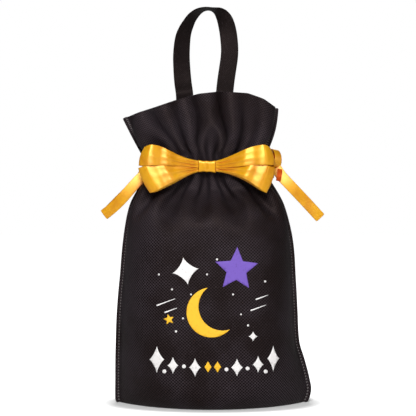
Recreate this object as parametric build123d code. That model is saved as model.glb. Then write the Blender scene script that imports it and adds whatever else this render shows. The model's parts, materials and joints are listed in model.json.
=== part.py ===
from build123d import *
from math import cos, radians, sin, sqrt, tan
import os

os.makedirs("parts", exist_ok=True)

# A drawstring gift bag of black non-woven cloth. It stands on its opened bottom gusset, is
# drawn together at a ribbon channel, and fans out above it in a frill. A strap handle is
# welded to the back panel, and a ready-made satin bow is tacked to the front of the neck.
# Millimetres, +Z up, the front faces -Y, the origin is the middle of the base.

# ---- cloth and ribbon ------------------------------------------------------------------
CLOTH = 0.8                 # thickness that the plain cloth solids are given
SEAM_WIDTH = 4.0            # welded side seam that stands out beyond the bag's wall
RIBBON = 0.5                # satin ribbon, thickness
CLEAR = 0.3                 # gap between pieces that move past each other
RUN_CLEAR = 0.55            # room each side of a ribbon in the channel
SEAM_CORNER = 3.2           # radius of the seams' lower corners
FAR = 100.0                 # reach of the shapes that cut, well beyond the bag

# ---- base ------------------------------------------------------------------------------
BASE_HALF_WIDTH = 93.5
BASE_HALF_DEPTH = 40.0
BASE_END_RADIUS = 12.0
GUSSET_RISE = 6.0           # height of the gusset's welded edge

# ---- belly -----------------------------------------------------------------------------
BELLY_HALF_WIDTH = 87.2
BELLY_HALF_DEPTH = 44.0
BELLY_END_RADIUS = 16.0
BELLY_HEIGHT = 66.0
SHOULDER_HALF_WIDTH = 82.0
SHOULDER_HALF_DEPTH = 38.0
SHOULDER_HEIGHT = 150.0
SHOULDER_TOP_HALF_WIDTH = 74.0
SHOULDER_TOP_HALF_DEPTH = 28.0
SHOULDER_TOP_HEIGHT = 194.0
LEAN = -6.0                 # the bag's upper part leans to one side by this much

# ---- neck ------------------------------------------------------------------------------
NECK_HALF_WIDTH = 60.0
NECK_HALF_DEPTH = 20.5      # to the outside of the gathered pleats
NECK_BOTTOM = 217.0
NECK_TOP = 253.0

# ---- frill -----------------------------------------------------------------------------
FRILL_HALF_WIDTH = 75.5
FRILL_HALF_DEPTH = 30.0
FRILL_END_RADIUS = 12.0
FRILL_LEAN = -13.5
FRILL_TOP = 309.0
CORNER_HALF_WIDTH = 72.5    # at the height of the frill's lower corner
CORNER_HALF_DEPTH = 26.0
FRILL_LEFT_DROP = 24.0      # how far the cut edge falls from its top to its two corners
FRILL_RIGHT_DROP = 14.0

# ---- ribbon channel and its two drawstrings --------------------------------------------
DRAWSTRING_WIDTH = 10.0
CHANNEL_EDGE = 1.0          # from a ribbon's edge to the channel's welded line
BAND_GAP = 2.0              # between the two drawstrings, one above the other
CHANNEL_WELD = 4.0          # welded edge above and below the channel
CHANNEL_MIDDLE = 235.0
PLEAT_ROOM = 8.0            # the channel's gathered cloth stands this far outside the ribbons
SLACK = 12.0                # how far each drawstring still pulls out
KNOT_LENGTH = 12.0
KNOT_DEPTH = 9.0
KNOT_ROUND = 1.9
KNOT_ROOT = 2.0             # the knot is made longer by this much, and its drawstring cuts it off
TAIL_THICKNESS = 0.6
TAIL_BEND = 0.45            # share of a tail's shorter run that each bend's arc takes up

# ---- handle ----------------------------------------------------------------------------
STRAP_WIDTH = 18.0
STRAP = 1.0                 # thickness of the strap
STRAP_END_LENGTH = 40.0     # welded to the back panel
HINGE_ABOVE = 2.0           # the strap bends this far above the frill's cut edge
HANDLE_RISE = 89.0          # from the bend to the middle of the loop's top
LEG_SPACING = 40.0          # between the middles of the two legs
HANDLE_LEAN = -8.5

# ---- bow -------------------------------------------------------------------------------
BOW_HALF_WIDTH = 68.5
LOOP_TAPER = 13.0           # each loop's far corner stands in from the bow's end by this much
LOOP_RISE = 19.6            # upper loops, above the bow's middle
LOOP_DROOP = 26.4           # lower loops, below the bow's middle
LOOP_DEPTH = 15.0           # front to back, through a loop
LOOP_PINCH = 2.6            # depth where the wrap holds the loops
WRAP_WIDTH = 17.0
WRAP_HEIGHT = 12.0
WRAP = 0.8
WRAP_ROUND = 1.2
LOOP_SWELL = 0.85           # share of its depth that a loop has half way to its fold
TACK_DEPTH = 1.2            # glued spot between the bow and the neck
TACK_INSET = 1.5            # from the wrap's edge to the glued spot

# ---- values worked out from the sizes above --------------------------------------------
channel_height = 2 * DRAWSTRING_WIDTH + BAND_GAP + 2 * CHANNEL_EDGE
channel_bottom = CHANNEL_MIDDLE - channel_height / 2
channel_top = CHANNEL_MIDDLE + channel_height / 2
upper_band = CHANNEL_MIDDLE + BAND_GAP / 2 + DRAWSTRING_WIDTH / 2
lower_band = CHANNEL_MIDDLE - BAND_GAP / 2 - DRAWSTRING_WIDTH / 2
ribbon_line = NECK_HALF_DEPTH - CLOTH - PLEAT_ROOM - RIBBON / 2
neck_flat = NECK_HALF_WIDTH - ribbon_line - RIBBON / 2 - RUN_CLEAR - CLOTH
strip_outer = ribbon_line - RIBBON / 2 - RUN_CLEAR
hinge_height = FRILL_TOP + HINGE_ABOVE


class Level:
    """One horizontal section of the bag: a lens with rounded ends."""

    def __init__(self, height, middle, half_width, half_depth, end_radius):
        self.height = height
        self.middle = middle
        self.half_width = half_width
        self.half_depth = half_depth
        self.end_radius = end_radius

    def arc_centre(self):
        """How far behind the section's middle its front arc has its centre."""
        a = self.half_width - self.end_radius
        b = self.half_depth - self.end_radius
        return (a**2 - b**2) / (2 * b)

    def depth_at(self, x):
        """The wall's depth at a place beside the section's middle."""
        h = self.arc_centre()
        return sqrt((self.half_depth + h) ** 2 - (x - self.middle) ** 2) - h

    def face(self, grow=0.0):
        """The section as a face, its outline moved out by grow."""
        a = self.half_width + grow
        b = self.half_depth + grow
        r = self.end_radius + grow
        if b - r < 0.01:
            bend_x = a - b
            bend_y = b
            front = Line((-bend_x, -bend_y), (bend_x, -bend_y))
            back = Line((bend_x, bend_y), (-bend_x, bend_y))
        else:
            h = self.arc_centre()
            reach = (b + h) / (b + h - r)
            bend_x = reach * (a - r)
            bend_y = reach * h - h
            front = ThreePointArc((-bend_x, -bend_y), (0, -b), (bend_x, -bend_y))
            back = ThreePointArc((bend_x, bend_y), (0, b), (-bend_x, bend_y))
        right = ThreePointArc((bend_x, -bend_y), (a, 0), (bend_x, bend_y))
        left = ThreePointArc((-bend_x, bend_y), (-a, 0), (-bend_x, -bend_y))
        outline = make_face([front, right, back, left])
        return Pos(self.middle, 0, self.height) * outline


def between(lower, upper, height):
    """The level at a height between two others."""
    share = (height - lower.height) / (upper.height - lower.height)

    def mix(name):
        return getattr(lower, name) + share * (getattr(upper, name) - getattr(lower, name))

    return Level(height, mix("middle"), mix("half_width"), mix("half_depth"), mix("end_radius"))


levels = [
    Level(0, 0, BASE_HALF_WIDTH, BASE_HALF_DEPTH, BASE_END_RADIUS),
    Level(GUSSET_RISE, 0, BASE_HALF_WIDTH, BASE_HALF_DEPTH, BASE_END_RADIUS),
    Level(BELLY_HEIGHT, LEAN, BELLY_HALF_WIDTH, BELLY_HALF_DEPTH, BELLY_END_RADIUS),
    Level(SHOULDER_HEIGHT, LEAN, SHOULDER_HALF_WIDTH, SHOULDER_HALF_DEPTH, BELLY_END_RADIUS),
    Level(SHOULDER_TOP_HEIGHT, LEAN, SHOULDER_TOP_HALF_WIDTH, SHOULDER_TOP_HALF_DEPTH,
          NECK_HALF_DEPTH),
    Level(NECK_BOTTOM, LEAN, NECK_HALF_WIDTH, NECK_HALF_DEPTH, NECK_HALF_DEPTH),
    Level(NECK_TOP, LEAN, NECK_HALF_WIDTH, NECK_HALF_DEPTH, NECK_HALF_DEPTH),
    Level(FRILL_TOP - FRILL_LEFT_DROP, FRILL_LEAN, CORNER_HALF_WIDTH, CORNER_HALF_DEPTH,
          FRILL_END_RADIUS),
    Level(hinge_height + 1, FRILL_LEAN, FRILL_HALF_WIDTH, FRILL_HALF_DEPTH, FRILL_END_RADIUS),
]


def bag_solid(grow):
    """The whole bag as one solid body, its wall moved out by grow."""
    solid = None
    for lower, upper in zip(levels, levels[1:]):
        span = loft([lower.face(grow), upper.face(grow)], ruled=True)
        solid = span if solid is None else solid + span
    return solid


def above_frill_edge():
    """Everything above the frill's arched cut edge."""
    left = FRILL_LEAN - FRILL_HALF_WIDTH - SEAM_WIDTH
    right = FRILL_LEAN + FRILL_HALF_WIDTH + SEAM_WIDTH
    roof = FRILL_TOP + FAR
    arch = ThreePointArc(
        (left, FRILL_TOP - FRILL_LEFT_DROP),
        (LEAN, FRILL_TOP),
        (right, FRILL_TOP - FRILL_RIGHT_DROP),
    )
    edge = Polyline(arch @ 1, (right + FAR, roof), (left - FAR, roof), arch @ 0)
    return extrude(Plane.XZ * make_face([arch, edge]), FAR, both=True)


def seam_plate():
    """The bag's side outline with its welded seams, as a flat plate from y = 0 to the front."""
    right_side = [(v.middle + v.half_width + SEAM_WIDTH, v.height) for v in levels]
    left_side = [(v.middle - v.half_width - SEAM_WIDTH, v.height) for v in reversed(levels)]
    outline = make_face(Polyline(*right_side, *left_side, close=True))
    low_corners = outline.vertices().sort_by(Axis.Y)[0:2]
    outline = fillet(low_corners, radius=SEAM_CORNER)
    return extrude(Plane.XZ * outline, CLOTH)


def ribbon_exits():
    """The two openings at the side seams where the drawstrings leave the channel."""
    cut = None
    for side in (-1, 1):
        box = Pos(LEAN + side * (neck_flat + FAR / 2), 0, CHANNEL_MIDDLE) * Box(
            FAR, FAR, channel_height
        )
        cut = box if cut is None else cut + box
    return cut


outer = bag_solid(0)
inner = bag_solid(-CLOTH)
frill_cut = above_frill_edge()
exits = ribbon_exits()
big = 4 * BASE_HALF_WIDTH
front_half = Pos(0, -big / 2, hinge_height / 2) * Box(big, big, 2 * hinge_height)
back_half = Pos(0, big / 2, hinge_height / 2) * Box(big, big, 2 * hinge_height)

shell = outer - inner
front_seam = seam_plate() - inner
back_seam = mirror(front_seam, Plane.XZ)
front_panel = (shell & front_half) + front_seam - frill_cut - exits
back_panel = (shell & back_half) + back_seam - frill_cut - exits


def bottom_gusset():
    """The flat base with its turned-up edge, inside the two panels."""
    floor = extrude(levels[0].face(-CLOTH), GUSSET_RISE)
    hollow = Pos(0, 0, CLOTH) * extrude(levels[0].face(-2 * CLOTH), GUSSET_RISE)
    return floor - hollow


def channel_strips():
    """The inner cloth that closes the ribbon channel, front and back."""
    neck = Level(0, LEAN, NECK_HALF_WIDTH, NECK_HALF_DEPTH, NECK_HALF_DEPTH)
    lining = Level(0, LEAN, neck_flat + strip_outer, strip_outer, strip_outer)
    reach = channel_height + 2 * CHANNEL_WELD
    low = channel_bottom - CHANNEL_WELD
    full = Pos(0, 0, low) * extrude(neck.face(-CLOTH), reach)
    throat = Pos(0, 0, low) * extrude(lining.face(-CLOTH), reach)
    rim = extrude(neck.face(), channel_height) - extrude(lining.face(), channel_height)
    ring = full - throat - Pos(0, 0, channel_bottom) * rim
    return ring & front_half, ring & back_half


front_strip, back_strip = channel_strips()


def drawstring_core(side, grow):
    """What a drawstring's loop encloses, its outline moved out by grow from the ribbon's middle."""
    band = upper_band if side > 0 else lower_band
    line = Level(band - DRAWSTRING_WIDTH / 2, LEAN - side * SLACK / 2,
                 neck_flat + ribbon_line + SLACK / 2, ribbon_line, ribbon_line)
    return extrude(line.face(grow), DRAWSTRING_WIDTH)


def drawstring(side):
    """A ribbon loop round the neck: its knot is at side, its slack at the other side."""
    return drawstring_core(side, RIBBON / 2) - drawstring_core(side, -RIBBON / 2)


def knot(side):
    """The knot that ties a drawstring's two ends, against the outside of its loop."""
    band = upper_band if side > 0 else lower_band
    loop_end = neck_flat + ribbon_line + RIBBON / 2
    body = Box(KNOT_LENGTH + KNOT_ROOT, KNOT_DEPTH, DRAWSTRING_WIDTH)
    body = fillet(body.edges(), radius=KNOT_ROUND)
    place = Pos(LEAN + side * (loop_end + (KNOT_LENGTH - KNOT_ROOT) / 2), 0, band)
    return place * body - drawstring_core(side, RIBBON / 2)


# A tail's route is chosen by hand: distance along its line, and how far it bows forward.
TAIL_ROUTES = {
    "left_front_tail": [(0, 0), (15, 3.5), (42, 5.5), (58.8, 2.5)],
    "left_rear_tail": [(0, -1.7), (15.5, 1.4), (41, 3.2), (56.4, -0.4)],
    "right_front_tail": [(0, 0), (15, 3), (42, 5), (58.6, 1.5)],
    "right_rear_tail": [(0, -1.6), (15.5, 1), (41, 2.8), (56, -1)],
}
TAIL_ENDS = {
    -1: ((-66.7, -7.4, 229.0), (-108.4, -7.4, 187.4)),
    1: ((66.4, -9.0, 227.3), (106.6, -9.0, 184.3)),
}


def tail(name, side):
    """One loose end of a drawstring: a flat ribbon along straight runs and tangent arcs."""
    start, end = (Vector(*p) for p in TAIL_ENDS[side])
    along = (end - start).normalized()
    width_way = along.cross(Vector(0, -1, 0)).normalized()
    plane = Plane(origin=start, x_dir=along, z_dir=width_way)
    route = TAIL_ROUTES[name]
    radii = []
    for a, b, c in zip(route, route[1:], route[2:]):
        first = Vector(b[0] - a[0], b[1] - a[1])
        second = Vector(c[0] - b[0], c[1] - b[1])
        shorter = min(first.length, second.length)
        radii.append(TAIL_BEND * shorter / tan(radians(first.get_angle(second)) / 2))
    path = FilletPolyline(*route, radius=radii)
    flat = trace(path, line_width=TAIL_THICKNESS)
    shape = extrude(plane * flat, DRAWSTRING_WIDTH / 2, both=True)
    expected = path.length * TAIL_THICKNESS * DRAWSTRING_WIDTH
    print(name, "length", round(path.length, 1), "radii", [round(r, 1) for r in radii],
          "volume share", round(shape.volume / expected, 3))
    for x, y in route:
        point = plane.from_local_coords(Vector(x, y, 0))
        print("   route point", [round(v, 2) for v in (point.X, point.Y, point.Z)])
    return shape


# ---- handle ----------------------------------------------------------------------------
hinge_level = between(levels[-2], levels[-1], FRILL_TOP)
leg_middles = [HANDLE_LEAN - LEG_SPACING / 2, HANDLE_LEAN + LEG_SPACING / 2]
hinge_depth = sum(hinge_level.depth_at(x) for x in leg_middles) / 2 + STRAP / 2


def strap_ends():
    """The strap's two welded ends, lying on the outside of the back panel."""
    top = hinge_height - STRAP / 2 - CLEAR
    low = FRILL_TOP - STRAP_END_LENGTH
    skin = (bag_solid(STRAP) - outer) & back_half
    ends = None
    for middle in leg_middles:
        slot = Pos(middle, FAR / 2, (low + top) / 2) * Box(STRAP_WIDTH, FAR, top - low)
        piece = skin & slot
        ends = piece if ends is None else ends + piece
    return ends


# Points of the loop, as shares of half the leg spacing and of the rise, with the strap's turn.
LOOP_POINTS = [
    (-1.00, 0.00, 0),
    (-1.14, 0.20, 8),
    (-1.20, 0.42, 18),
    (-1.15, 0.64, 32),
    (-0.95, 0.82, 50),
    (-0.55, 0.95, 72),
    (0.02, 1.00, 90),
    (0.58, 0.95, 108),
    (0.98, 0.82, 132),
    (1.17, 0.64, 150),
    (1.20, 0.42, 163),
    (1.13, 0.20, 172),
    (1.00, 0.00, 180),
]


def handle_loop():
    """The free part of the strap: it faces the front at its feet and turns edge-on at the top."""
    points = [
        Vector(HANDLE_LEAN + x * LEG_SPACING / 2, hinge_depth, hinge_height + z * HANDLE_RISE)
        for x, z, turn in LOOP_POINTS
    ]
    sections = []
    last = len(points) - 1
    for index, point in enumerate(points):
        before = points[max(index - 1, 0)]
        after = points[min(index + 1, last)]
        along = (after - before).normalized()
        if index in (0, last):
            along = Vector(0, 0, 1 if index == 0 else -1)
        turn = radians(LOOP_POINTS[index][2])
        wide = Vector(cos(turn), -sin(turn), 0)
        wide = (wide - along * wide.dot(along)).normalized()
        plane = Plane(origin=point, x_dir=wide, z_dir=along)
        sections.append(plane * Rectangle(STRAP_WIDTH, STRAP))
    loop = loft(sections, ruled=True)
    for foot in (points[0], points[last]):
        roll = Rot(0, 90, 0) * Cylinder(STRAP / 2, STRAP_WIDTH)
        loop = loop + Pos(foot.X, foot.Y, foot.Z) * roll
    return loop


# ---- bow -------------------------------------------------------------------------------
wrap_back = NECK_HALF_DEPTH + TACK_DEPTH
wrap_depth = LOOP_PINCH + 2 * CLEAR + 2 * WRAP
bow_line = -(wrap_back + wrap_depth / 2)
loop_push = LOOP_DEPTH / 2 + bow_line + NECK_HALF_DEPTH + 5 * CLEAR


def loop_outline(reach, inset):
    """A loop from above: narrow in the wrap, round at its far fold, pushed forward off the neck."""
    pinch = LOOP_PINCH / 2 - inset
    start = WRAP_WIDTH / 2 + 1
    fold = reach - LOOP_DEPTH / 2
    front = -LOOP_DEPTH / 2 - loop_push + inset
    back = LOOP_DEPTH / 2 - loop_push - inset
    swell = start + 0.5 * (fold - start)
    return make_face([
        Line((0, -pinch), (start, -pinch)),
        Spline((start, -pinch), (swell, front * LOOP_SWELL), (fold, front), tangents=[(1, 0), (1, 0)]),
        ThreePointArc((fold, front), (reach - inset, -loop_push), (fold, back)),
        Spline((fold, back), (swell, back * LOOP_SWELL), (start, pinch), tangents=[(-1, 0), (-1, 0)]),
        Line((start, pinch), (0, pinch)),
        Line((0, pinch), (0, -pinch)),
    ])


def loop_pair(half_outline):
    """Two ribbon loops from one folded ribbon, cut to their outline as seen from the front."""
    tall = LOOP_RISE + LOOP_DROOP
    ribbon = extrude(loop_outline(BOW_HALF_WIDTH, 0), tall, both=True)
    ribbon = ribbon - extrude(loop_outline(BOW_HALF_WIDTH, RIBBON), tall, both=True)
    mask = extrude(Plane.XZ * make_face(Polyline(*half_outline, close=True)), tall, both=True)
    right = ribbon & mask
    return Pos(LEAN, bow_line, CHANNEL_MIDDLE) * (right + mirror(right, Plane.YZ))


wrap_inside = WRAP_HEIGHT / 2 - WRAP - CLEAR
far_corner = BOW_HALF_WIDTH - LOOP_TAPER
upper_loops = loop_pair([
    (0, CLEAR / 2), (0, wrap_inside), (WRAP_WIDTH / 2, wrap_inside),
    (far_corner, LOOP_RISE), (BOW_HALF_WIDTH + 1, CLEAR / 2),
])
lower_loops = loop_pair([
    (0, -CLEAR / 2), (BOW_HALF_WIDTH + 1, -CLEAR / 2), (far_corner, -LOOP_DROOP),
    (WRAP_WIDTH / 2, -wrap_inside), (0, -wrap_inside),
])


def bow_wrap():
    """The short ribbon round the middle of the bow."""
    body = Box(WRAP_WIDTH, wrap_depth, WRAP_HEIGHT)
    body = fillet(body.edges().filter_by(Axis.X), radius=WRAP_ROUND)
    hole = Box(WRAP_WIDTH, wrap_depth - 2 * WRAP, WRAP_HEIGHT - 2 * WRAP)
    return Pos(LEAN, bow_line, CHANNEL_MIDDLE) * (body - hole)


def bow_tack():
    """The spot of glue that holds the bow's wrap to the neck."""
    spot = Rot(90, 0, 0) * Cylinder(WRAP_HEIGHT / 2 - TACK_INSET, TACK_DEPTH)
    return Pos(LEAN, -NECK_HALF_DEPTH - TACK_DEPTH / 2, CHANNEL_MIDDLE) * spot


export_step(front_panel, "parts/front_panel.step")
export_step(back_panel, "parts/back_panel.step")
export_step(bottom_gusset(), "parts/bottom_gusset.step")
export_step(front_strip, "parts/front_channel_strip.step")
export_step(back_strip, "parts/back_channel_strip.step")
export_step(drawstring(-1), "parts/left_drawstring.step")
export_step(drawstring(1), "parts/right_drawstring.step")
export_step(knot(-1), "parts/left_knot.step")
export_step(knot(1), "parts/right_knot.step")
for name in TAIL_ROUTES:
    export_step(tail(name, -1 if name.startswith("left") else 1), f"parts/{name}.step")
export_step(strap_ends(), "parts/handle_strap_ends.step")
export_step(handle_loop(), "parts/handle_loop.step")
export_step(upper_loops, "parts/bow_upper_loops.step")
export_step(lower_loops, "parts/bow_lower_loops.step")
export_step(bow_wrap(), "parts/bow_center_wrap.step")
export_step(bow_tack(), "parts/bow_tack.step")
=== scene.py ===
import json
import math
from collections import namedtuple

import bmesh
import bpy
import numpy as np
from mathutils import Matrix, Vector
from mathutils.bvhtree import BVHTree
from mathutils.geometry import delaunay_2d_cdt


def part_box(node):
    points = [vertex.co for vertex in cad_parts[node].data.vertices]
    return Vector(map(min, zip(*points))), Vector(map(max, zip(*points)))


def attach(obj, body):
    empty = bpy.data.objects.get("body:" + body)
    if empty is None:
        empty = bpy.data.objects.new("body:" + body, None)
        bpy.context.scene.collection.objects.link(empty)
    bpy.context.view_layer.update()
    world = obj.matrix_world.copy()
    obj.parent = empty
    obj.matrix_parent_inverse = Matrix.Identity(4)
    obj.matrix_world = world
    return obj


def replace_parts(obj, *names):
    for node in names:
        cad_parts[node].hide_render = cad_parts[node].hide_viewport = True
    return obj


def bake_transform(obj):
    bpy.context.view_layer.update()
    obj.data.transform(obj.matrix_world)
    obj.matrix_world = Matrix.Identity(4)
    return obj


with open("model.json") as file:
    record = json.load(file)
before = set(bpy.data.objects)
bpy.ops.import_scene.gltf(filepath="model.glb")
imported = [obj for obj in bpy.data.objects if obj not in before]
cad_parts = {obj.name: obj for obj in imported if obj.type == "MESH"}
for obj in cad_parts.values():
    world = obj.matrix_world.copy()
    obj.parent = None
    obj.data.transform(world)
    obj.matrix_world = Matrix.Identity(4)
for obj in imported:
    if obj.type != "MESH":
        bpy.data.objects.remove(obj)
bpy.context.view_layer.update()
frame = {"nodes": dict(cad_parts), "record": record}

# Metres, in the part's own frame: +Z up, the bag's front faces -Y. Lengths written in
# millimetres are multiplied by MM.
MM = 0.001


# ---- places read from the frame
def node_box(*nodes):
    """Lowest and highest corner of some nodes, in millimetres."""
    low = np.min([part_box(n)[0] for n in nodes], axis=0) / MM
    high = np.max([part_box(n)[1] for n in nodes], axis=0) / MM
    return low, high


strip_low, strip_high = node_box("front_channel_strip", "back_channel_strip")
wrap_low, wrap_high = node_box("bow_center_wrap")
left_low, left_high = node_box("left_drawstring")
right_low, right_high = node_box("right_drawstring")

RIBBON_EDGE = 1.0           # from a drawstring's edge to the channel's weld
NECK_X = (strip_low[0] + strip_high[0]) / 2
CHANNEL_LOW = left_low[2] - RIBBON_EDGE
CHANNEL_HIGH = right_high[2] + RIBBON_EDGE
RIBBON_LINE = (left_high[1] - left_low[1]) / 2      # a drawstring's strands, from the middle
_, BOW_Y, BOW_Z = (wrap_low + wrap_high) / 2

# ---- the cloth, as it was cut and as it is held
WELD_WIDTH = 204.0          # between the two side welds, when the bag lies flat
SEAM = 4.0                  # welded seam outside each weld
SEAM_STEPS = (0.9, 2.4, SEAM)
COLUMNS = 72
BODY_ROWS = 76
CHANNEL_ROWS = 8
NECK_ROW = BODY_ROWS + CHANNEL_ROWS
FRILL_ROWS = 20
CLOTH = 0.45

# Side seams, seen from the front: height, left and right seam (to the weld), millimetres.
SEAM_LINE = [
    (0, -92.6, 90.0), (3, -93.8, 91.6), (9, -94.0, 93.8), (15, -94.0, 94.4), (22, -93.9, 93.0),
    (32, -93.9, 90.7), (45, -93.8, 87.0), (57, -93.5, 83.2), (70, -93.2, 81.6), (90, -92.4, 80.8),
    (112, -90.7, 79.7), (130, -88.9, 78.6), (146, -87.7, 77.8), (162, -86.1, 76.1),
    (176, -84.1, 73.3), (188, -81.9, 70.2), (198, -79.0, 66.8), (207, -74.5, 62.2),
    (216, -69.6, 56.6), (CHANNEL_LOW, -67.3, 52.4), (CHANNEL_HIGH, -66.6, 48.6),
]
LEFT_CORNER = (-86.3, -7.0, 285.0)
RIGHT_CORNER = (62.0, 5.0, 295.0)
LEFT_BOW = -0.4             # how far the frill's seams bow outward between channel and corner
RIGHT_BOW = 3.0
BASE_DEPTH = 38.0
BELLY_DEPTH = 44.0
BASE_ROUND = 40.0           # the depth grows from the base's to the belly's up to this height
PLEATS_START = 150.0        # height
ROUNDS = 1200
PRESSURE = 0.012            # of the filling, millimetres a step
BELLY_REACH = 46.0          # the cloth comes no further forward than this
NECK_REACH = 20.6           # behind the bow
FRILL_REACH = 34.0
PLEAT_DEPTH = 8.0           # of the gathers at the neck
FOLD_DEPTH = 26.0           # of the folds at the frill's cut edge
FOLD_NEAR = 5.0             # the shallowest part of those folds
SLIT = 8.5                  # half the width of the channel's opening at each side seam
LAYER = 0.28                # from the seam's middle to the middle of each welded layer
FLOOR_GAP = 0.35            # the cloth's middle lies this far above the floor
RIBBON_ROOM = 1.1           # from a drawstring's middle to the cloth on each side of it
STRIP_REACH = RIBBON_LINE - RIBBON_ROOM
STRIP_ENDS = 8              # columns left out at each end, where the drawstrings turn
STRIP_HEIGHT = 36.0         # along the cloth, with the welds above and below
RIBBON = 0.35               # thickness, as drawn
DRAWSTRING_WIDTH = 9.6
KNOT_TURN_WIDTH = 8.6
WRAP = 0.4
STRAP = 1.0
STRAP_WIDTH = 18.0
INK = 0.10


def smooth_curve(points, samples):
    """Catmull-Rom curve through points, as samples evenly spaced along it."""
    pts = np.array(points, dtype=float)
    pts = np.vstack([2 * pts[0] - pts[1], pts, 2 * pts[-1] - pts[-2]])
    fine = []
    for k in range(1, len(pts) - 2):
        t = np.linspace(0, 1, 24, endpoint=False)[:, None]
        a, b, c, d = pts[k - 1], pts[k], pts[k + 1], pts[k + 2]
        fine.append(0.5 * (2 * b + (c - a) * t + (2 * a - 5 * b + 4 * c - d) * t**2
                           + (3 * b - a - 3 * c + d) * t**3))
    fine = np.vstack(fine + [pts[-2][None, :]])
    return resample(fine, samples)


def distances(line):
    """How far each point of a polyline lies from its start, along it."""
    steps = np.linalg.norm(np.diff(line, axis=0), axis=1)
    return np.concatenate([[0], np.cumsum(steps)])


def resample(line, samples):
    """Points evenly spaced along a polyline."""
    along = distances(line)
    at = np.linspace(0, along[-1], samples)
    return np.stack([np.interp(at, along, line[:, k]) for k in range(line.shape[1])], axis=1)


def line_length(line):
    return float(np.linalg.norm(np.diff(line, axis=0), axis=1).sum())


def lens(left, right, depth, samples):
    """One side of the filled bag's section: an arc from seam to seam, bulging to depth."""
    t = np.linspace(0, 1, 400)
    x = left + (right - left) * t
    half = (right - left) / 2
    radius = (half**2 + depth**2) / (2 * depth)
    y = np.sqrt(np.maximum(radius**2 - (x - left - half) ** 2, 0)) - (radius - depth)
    return resample(np.stack([x, -y], axis=1), samples)


def gathered(left, right, near, end, deepest, folds, samples):
    """Gathered cloth from seam to seam, as long as it was cut unless its folds get too deep.

    folds gives ridges and valleys as (share of the way across, share of the pleats' depth);
    the pleats stand outside y = -near, or -end at the seams, and no deeper than deepest.
    """
    low, high = 0.0, deepest
    for _ in range(30):
        tall = (low + high) / 2
        points = [(left + (right - left) * t,
                   -(end + (near - end) * min(1, 12 * t, 12 * (1 - t)) + tall * d))
                  for t, d in folds]
        line = smooth_curve(points, 900)
        if line_length(line) < WELD_WIDTH:
            low = tall
        else:
            high = tall
    return resample(line, samples)


def section_depth(chord, target):
    """How far an arc of a given length bulges over its chord."""
    low, high = 0.0, chord
    for _ in range(50):
        depth = (low + high) / 2
        radius = (chord**2 / 4 + depth**2) / (2 * depth)
        turn = 2 * math.atan2(chord / 2, radius - depth)
        if radius * turn < target:
            low = depth
        else:
            high = depth
    return depth


def ease(value, start, end):
    """0 before start, 1 after end, smooth between."""
    t = np.clip((value - start) / (end - start), 0, 1)
    return t * t * (3 - 2 * t)


# How one panel is gathered: its pleats at the neck, its folds and heights at the frill's cut
# edge before it is relaxed, and the seed of its uneven start.
Gather = namedtuple("Gather", "neck lip arch seed")

# The camera stands level, a metre from the bag. The frill's cut edge is given as it looks from
# there, on the plane of the side seams.
CAMERA_X, CAMERA_Z, CAMERA_DISTANCE = -5.0, 194.4, 1000.0
VIEW_WIDTH = 416.0          # seen across the picture, on that plane
FRONT_EDGE = [(-86, 285.3), (-75, 290), (-58, 295.5), (-36, 303), (-14, 309), (8, 311.3),
              (35, 309.5), (51, 303.8), (62, 295.8), (66, 295)]
BACK_EDGE = [(x, z - 3.0 * (1 - ((x + 12) / 78) ** 2)) for x, z in FRONT_EDGE]
# The same edge before it is relaxed: share of the way from seam to seam, height.
FRONT_ARCH = [(0, 285), (0.2, 294.5), (0.36, 302), (0.62, 308.5), (0.78, 306), (0.9, 301), (1, 295)]
BACK_ARCH = [(0, 285), (0.2, 293), (0.36, 299), (0.62, 304), (0.78, 303), (0.9, 299), (1, 295)]
GATHERS = {
    "front": Gather(
        [(0, 0), (0.07, 0.4), (0.16, 0.15), (0.26, 0.85), (0.36, 0.3), (0.43, 1.0), (0.5, 0.1),
         (0.555, 0.75), (0.61, 0.0), (0.69, 1.0), (0.8, 0.2), (0.89, 0.7), (0.95, 0.2), (1, 0)],
        [(0, 0), (0.09, 0.35), (0.19, 0.85), (0.3, 0.15), (0.405, 0.8), (0.486, 0.1), (0.55, 0.85),
         (0.66, 0.6), (0.765, 0.9), (0.83, 0.25), (0.91, 0.6), (1, 0)],
        FRONT_ARCH, 3),
    "back": Gather(
        [(0, 0), (0.06, 0.4), (0.14, 0.1), (0.22, 0.8), (0.3, 0.1), (0.39, 1.0), (0.46, 0.2),
         (0.53, 0.9), (0.61, 0.05), (0.7, 0.9), (0.78, 0.15), (0.86, 0.8), (0.93, 0.2), (1, 0)],
        [(0, 0), (0.08, 0.5), (0.2, 0.2), (0.33, 0.9), (0.46, 0.25), (0.6, 0.95), (0.74, 0.2),
         (0.88, 0.8), (1, 0)],
        BACK_ARCH, 8),
}


def seam_paths(side):
    """Left and right side seams from the floor to the frill's corners, one point a row.

    side is 1 for the front panel and -1 for the back one, whose paths are mirrored in y. At the
    ribbon channel the seam is open, and the two panels stand apart.
    """
    paths = []
    for column, corner, out in ((1, LEFT_CORNER, LEFT_BOW), (2, RIGHT_CORNER, RIGHT_BOW)):
        body = smooth_curve([(p[column], -LAYER, p[0]) for p in SEAM_LINE[:-1]], BODY_ROWS + 1)
        low = body[-1]
        top = np.array([SEAM_LINE[-1][column], -LAYER, CHANNEL_HIGH])
        share = np.linspace(0, 1, CHANNEL_ROWS + 1)[1:, None]
        channel = low + (top - low) * share
        opening = np.clip(1.6 * np.sin(math.pi * share[:, 0]), 0, 1)
        channel[:, 1] -= SLIT * opening
        end = np.array([corner[0], corner[1] * side - LAYER, corner[2]])
        share = np.linspace(0, 1, FRILL_ROWS + 1)[1:, None]
        frill = top + (end - top) * share + np.array([out, 0, 0]) * np.sin(share * math.pi)
        paths.append(np.vstack([body, channel, frill]))
    return paths


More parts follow.
